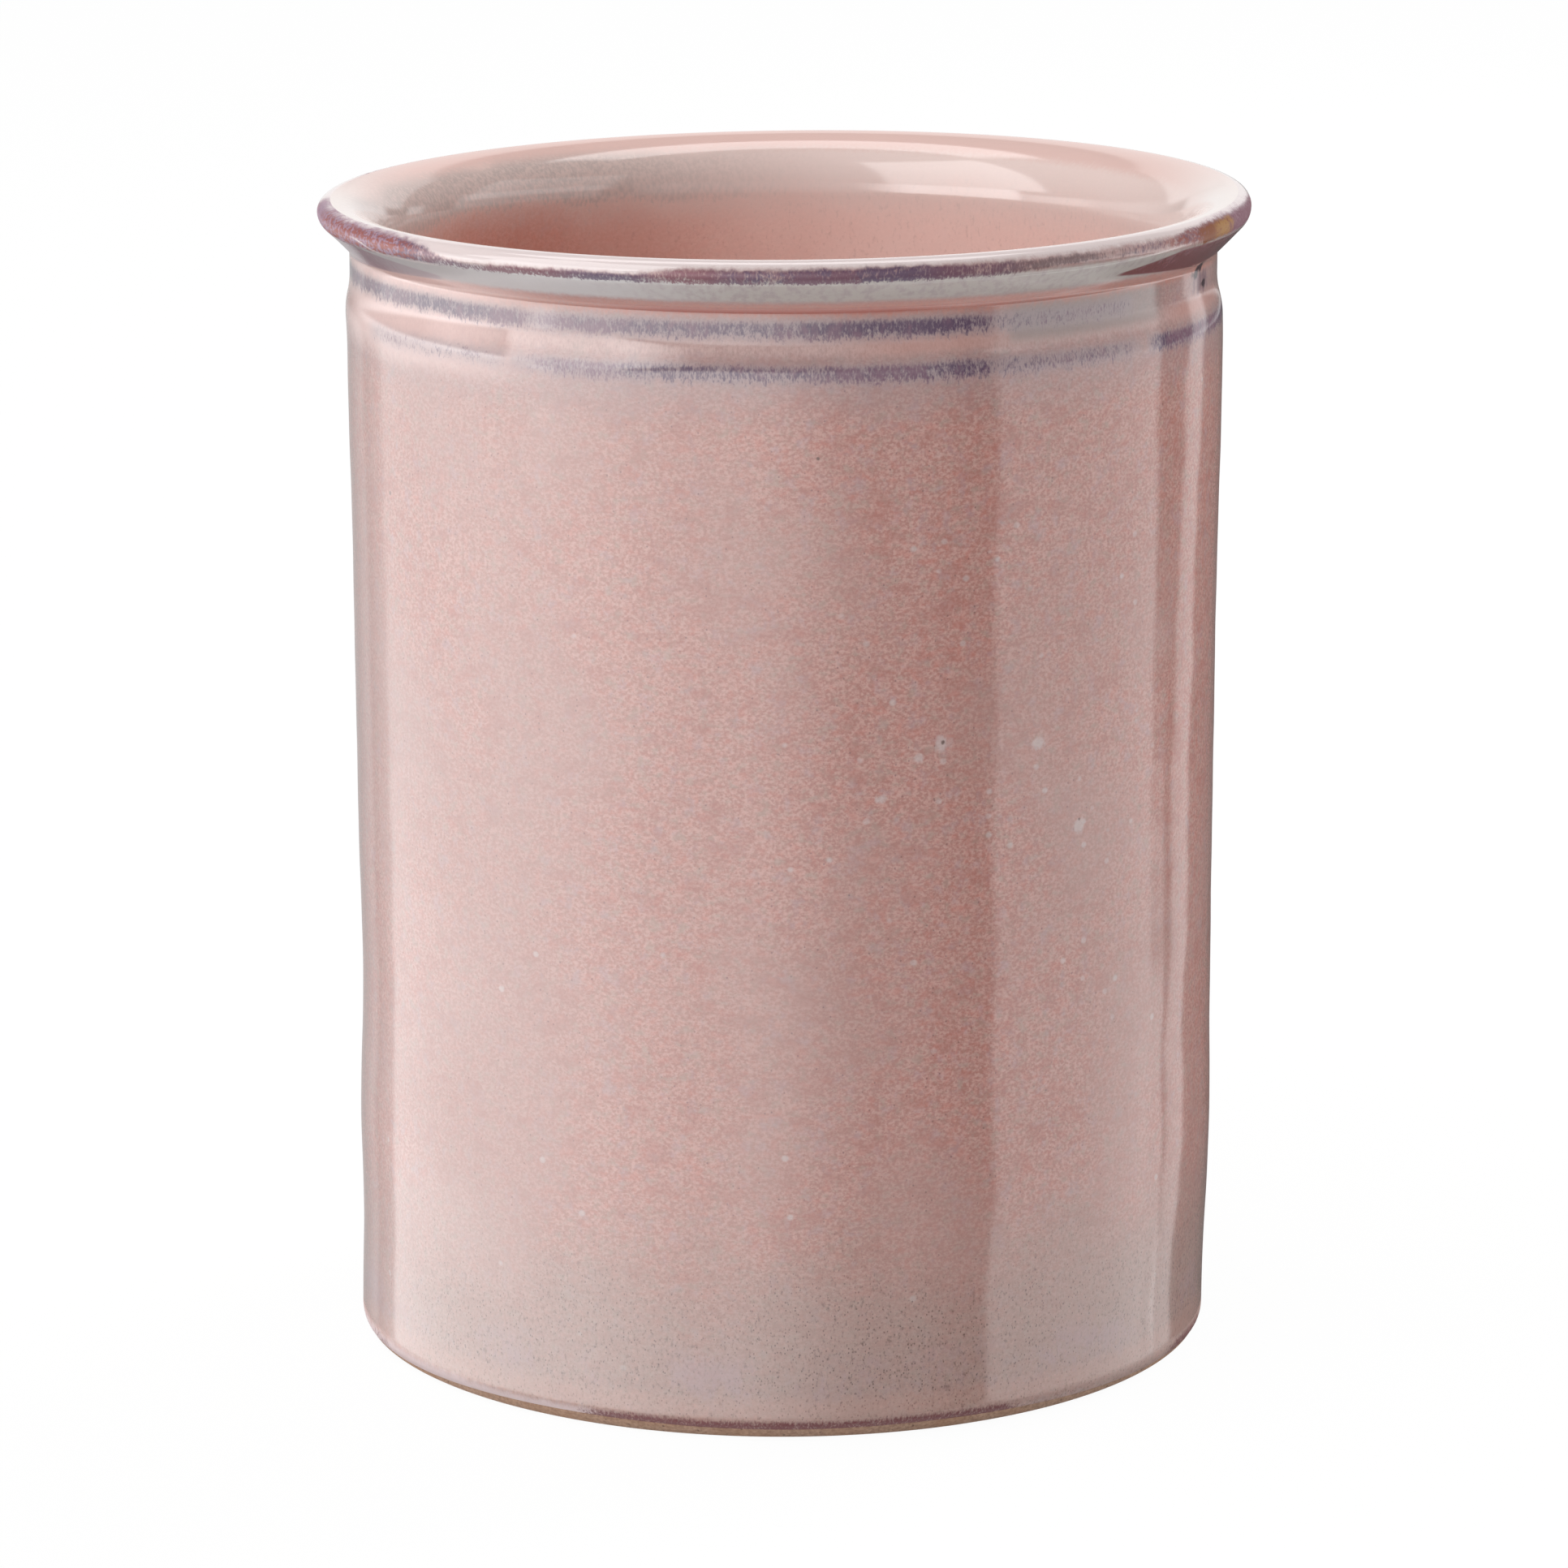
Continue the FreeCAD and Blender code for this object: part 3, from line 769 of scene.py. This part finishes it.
# Painted highlight: a thin white line along the lower edge of the lip to the front left, standing for a
# reflection
painted_highlight_level = lip_level - recipe.rise(facing, -57, -64) * 1.2 + (run - 0.5) * 0.5
painted_highlight_line = recipe.band(painted_highlight_level, *painted_highlight_heights, 0.12)
painted_highlight_line = painted_highlight_line * recipe.band(facing, *painted_highlight_bearings, 2)
ground = recipe.mix(painted_highlight_line * 0.8, ground, crest_white_and_highlight)
dullness = edge_cover * (both_sides * 0.15 + 0.25) + recipe.rise(rise, *matt_hem_fade) * 0.4 + 0.08
glassy(recipe, place, ground, dullness)
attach(outer, "root")
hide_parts("outer_glaze")


# Recess glaze: a thin brushed disc of the same pink on the roof of the hollow inside the foot ring.
# It seals the clay where a wet worktop would touch it, and stops short of the ring, so that the crock can
# stand on its bare foot in the kiln.

recess_low, recess_high = millimetres("recess_glaze")
brushed_radius = recess_high[0]
brushed_depth = recess_high[2] - recess_low[2]


def recess_outline():
    """The section of the brushed disc, with its rolled edge."""
    disc = Template((0, recess_high[2])).line((brushed_radius, recess_high[2]), 10)
    disc.arc((brushed_radius - brushed_depth, recess_high[2]), brushed_depth, 0, -90, 6)
    return disc.line((0, recess_low[2]), 16).points


recess = turned_shell("recess_glaze_coat", recess_outline())
recipe = fired("recess_glaze", recess)
place = recipe.place()
ground = pink_ground(recipe, place, 0.3)
brush_marks = recipe.noise(recipe.stretched(place, (14, 1.4, 14)), 3.0, 0.6)
ground = recipe.mix(recipe.rise(brush_marks, 0.45, 0.7) * 0.5, ground, foot_grey)
glassy(recipe, place, ground, 0.16)
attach(recess, "root")
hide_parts("recess_glaze")


# Studio: a pale seamless floor in a room of white panels that light the crock softly from the left.
# The floor is matt and runs to white away from the crock, so only the soft shadow at the foot shows on it.

floor_reach = 4.0
floor_drop = 0.00005
paper_grey = 0.86
paper_white_share = 0.96
floor_corners = [(-floor_reach, -floor_reach, 0), (floor_reach, -floor_reach, 0),
                 (floor_reach, floor_reach, 0), (-floor_reach, floor_reach, 0)]
floor_mesh = bpy.data.meshes.new("studio_floor")
floor_mesh.from_pydata(floor_corners, [], [(0, 1, 2, 3)])
floor = bpy.data.objects.new("studio_floor", floor_mesh)
floor.location.z = -floor_drop
floor.visible_glossy = False
bpy.context.collection.objects.link(floor)
recipe = fired("studio_floor", floor)
paper = recipe.node("ShaderNodeBsdfDiffuse", {}, {"Color": (paper_grey, paper_grey, paper_grey, 1)})
white = recipe.node("ShaderNodeEmission", {}, {"Color": (1, 1, 1, 1), "Strength": 1.0})
rays = recipe.node("ShaderNodeLightPath", output="Is Camera Ray")
mirror_rays = recipe.math("MAXIMUM", rays.other("Is Glossy Ray"), rays.other("Is Transmission Ray"))
seen = recipe.math("MAXIMUM", rays, mirror_rays)
floor_look = recipe.node("ShaderNodeMixShader", {}, {0: seen * paper_white_share, 1: paper, 2: white})
recipe.node("ShaderNodeOutputMaterial", {}, {"Surface": floor_look})

room = bpy.data.worlds.new("studio_room")
bpy.context.scene.world = room
room.cycles.sampling_method = "NONE"
recipe = Recipe(room)
toward = recipe.node("ShaderNodeTexCoord", output="Generated")
side = recipe.node("ShaderNodeSeparateXYZ", {}, {0: toward})
rays = recipe.node("ShaderNodeLightPath", output="Is Camera Ray")

# Directions in the room, in degrees: round from the camera with the right side positive, up from the
# horizon, over the top from the camera's side, and to the right
bearing = recipe.math("ARCTAN2", side, side.other("Y") * -1.0) * (180 / math.pi)
around = recipe.math("ABSOLUTE", bearing)
lift = recipe.math("ARCSINE", side.other("Z")) * (180 / math.pi)
arch = recipe.math("ARCTAN2", side.other("Z"), side.other("Y") * -1.0) * (180 / math.pi)
sideways = recipe.math("ARCSINE", side) * (180 / math.pi)
low_down = recipe.rise(lift, -11, -17)


def panel(bearings, lifts, soft, level):
    """A lit white panel between two bearings and two heights, with a soft edge."""
    return recipe.band(bearing, *bearings, soft) * recipe.band(lift, *lifts, soft) * level


# Behind the crock: a backdrop that reaches lower in its middle
backdrop = recipe.rise(around, 147, 151) * recipe.band(lift, 11, 34, 1.5)
backdrop_foot = lift - recipe.rise(bearing, 0, 20) * 4
low_backdrop = recipe.rise(around, 159, 165) * recipe.band(backdrop_foot, -5, 12, 1.5)
backdrop = recipe.math("MAXIMUM", backdrop, low_backdrop) * 0.85

# To the right: a white card with a low patch beside it, and a leaning strip beyond
right_card = panel(bearings=(57, 115), lifts=(-26, 22), soft=0.8, level=1.0)
right_card = right_card * (1.7 + low_down * 0.4 - recipe.rise(lift, -6, 0) * 0.6)
card_lean = bearing - recipe.math("MINIMUM", lift + 9, 2)
card_strip = recipe.band(card_lean, 131, 142, 1.2) * (1.0 + low_down * 0.25) * recipe.rise(lift, 15, 11)
card_patch = recipe.band(bearing, 115, 122, 0.8) * recipe.rise(lift, -12, -15) * 1.7

# To the left: a bright wall that fades out past the camera, and dimmer panels behind and above it
left_wall = recipe.rise(bearing, 26, -16) * 2.95 + recipe.rise(bearing, -15, -62) * 2.0
left_wall = (left_wall + recipe.rise(bearing, 52, 30) * 0.7) * recipe.rise(bearing, -165, -75)
wall_top = lift - recipe.rise(bearing, -45, -15) * 4
left_wall = left_wall * recipe.rise(lift, -25, -23) * recipe.rise(wall_top, 0, -3)
left_back = panel(bearings=(-180, -146), lifts=(-19, -6), soft=2.5, level=0.45)
slope = (bearing + 131) / (12 + (lift + 9) * -6.0)
left_edge = recipe.rise(bearing, -133, -131) * recipe.rise(slope, 1, 0)
left_edge = left_edge * recipe.rise(lift, -5, -7) * (0.5 + low_down * 0.8)
left_upper = recipe.rise(bearing, -165, -110) * recipe.rise(bearing, -74, -80)
left_upper = left_upper * recipe.band(lift, -5, 14, 2.0)
left_upper = left_upper * (1.1 + recipe.rise(bearing, -112, -96) * 1.5)

# Soft boxes to the left, to the right and overhead, the room behind the camera, and the table below
key_box = panel(bearings=(-88, -32), lifts=(19, 58), soft=1.5, level=3.8)
right_box = panel(bearings=(54, 110), lifts=(14, 40), soft=2.0, level=1.5)
box_foot = lift - recipe.math("MAXIMUM", bearing + 45, 0) * 0.45
shoulder_box = recipe.rise(bearing, -77.5, -74.5) * recipe.rise(bearing, -19, -42) * recipe.rise(lift, 20, 18)
shoulder_box = shoulder_box * recipe.rise(box_foot, -3.5, -0.5) * 6.4
key_tail = recipe.band(bearing, -69, -62, 3.0) * recipe.band(lift, -10.0, -5, 1.0) * 2.4
top_box = recipe.band(arch, 93, 115, 1.5) * recipe.band(sideways, -30, 24, 3.0) * 3.9
front_of_room = panel(bearings=(-45, 45), lifts=(0, 20), soft=3.0, level=0.6)
table = recipe.rise(lift, -40, -48) * 0.6

# The glaze mirrors all of these, the camera sees plain white, and matt surfaces get an even light with
# more of it from the upper left
dim_corners = 0.1
plain_white = 1.0
mirrored = dim_corners
for lit_part in (backdrop, right_card, card_strip, card_patch, left_wall, left_back, left_edge, left_upper,
                 key_box, right_box, shoulder_box, key_tail, top_box, front_of_room, table):
    mirrored = mirrored + lit_part
overhead = recipe.rise(side.other("Z") * 0.8 - side * 0.6, 0.5, 0.95)
ambient = overhead * 0.95 + 0.49
mirror_rays = recipe.math("MAXIMUM", rays.other("Is Glossy Ray"), rays.other("Is Transmission Ray"))
strength = mirror_rays * mirrored + rays * plain_white + (1 - mirror_rays) * (1 - rays) * ambient
room_light = recipe.node("ShaderNodeBackground", {}, {"Color": (1, 1, 1, 1), "Strength": strength})
recipe.node("ShaderNodeOutputWorld", {}, {"Surface": room_light})


def soft_lamp(name, place, size, watts):
    """A square soft lamp that faces the crock. The panels of the room give its reflection."""
    lamp = bpy.data.lights.new(name, "AREA")
    lamp.size = size
    lamp.energy = watts
    holder = bpy.data.objects.new(name, lamp)
    holder.location = place
    target = stoneware.location.copy()
    target.z = height * MM / 2
    holder.rotation_euler = (target - holder.location).to_track_quat("-Z", "Y").to_euler()
    holder.visible_glossy = False
    holder.visible_camera = False
    bpy.context.collection.objects.link(holder)


soft_lamp("key_lamp", place=(-0.4, -1.1, 0.7), size=0.8, watts=3.1)
soft_lamp("mouth_lamp", place=(-0.2, -0.12, 0.5), size=0.2, watts=0.5)
soft_lamp("edge_lamp", place=(0.9, 0.8, 0.5), size=0.8, watts=15.0)


# Camera: a long lens on a tripod in front of the crock, looking down on it a little.
# Its focal length, in pixels of the picture, and its place, in metres, are fitted to the crock's outline.

image_side = 1932
focal_pixels = 8043.8
sensor_width = 36.0
tripod_distance = 0.83382
tripod_height = 0.26649
tripod_pitch = 76.843
lens = bpy.data.cameras.new("camera")
lens.sensor_width = sensor_width
lens.lens = focal_pixels * sensor_width / image_side
camera = bpy.data.objects.new("camera", lens)
camera.location = (0, -tripod_distance, tripod_height)
camera.rotation_euler = (math.radians(tripod_pitch), 0, 0)
bpy.context.collection.objects.link(camera)
bpy.context.scene.camera = camera
bpy.context.scene.view_settings.view_transform = "Standard"
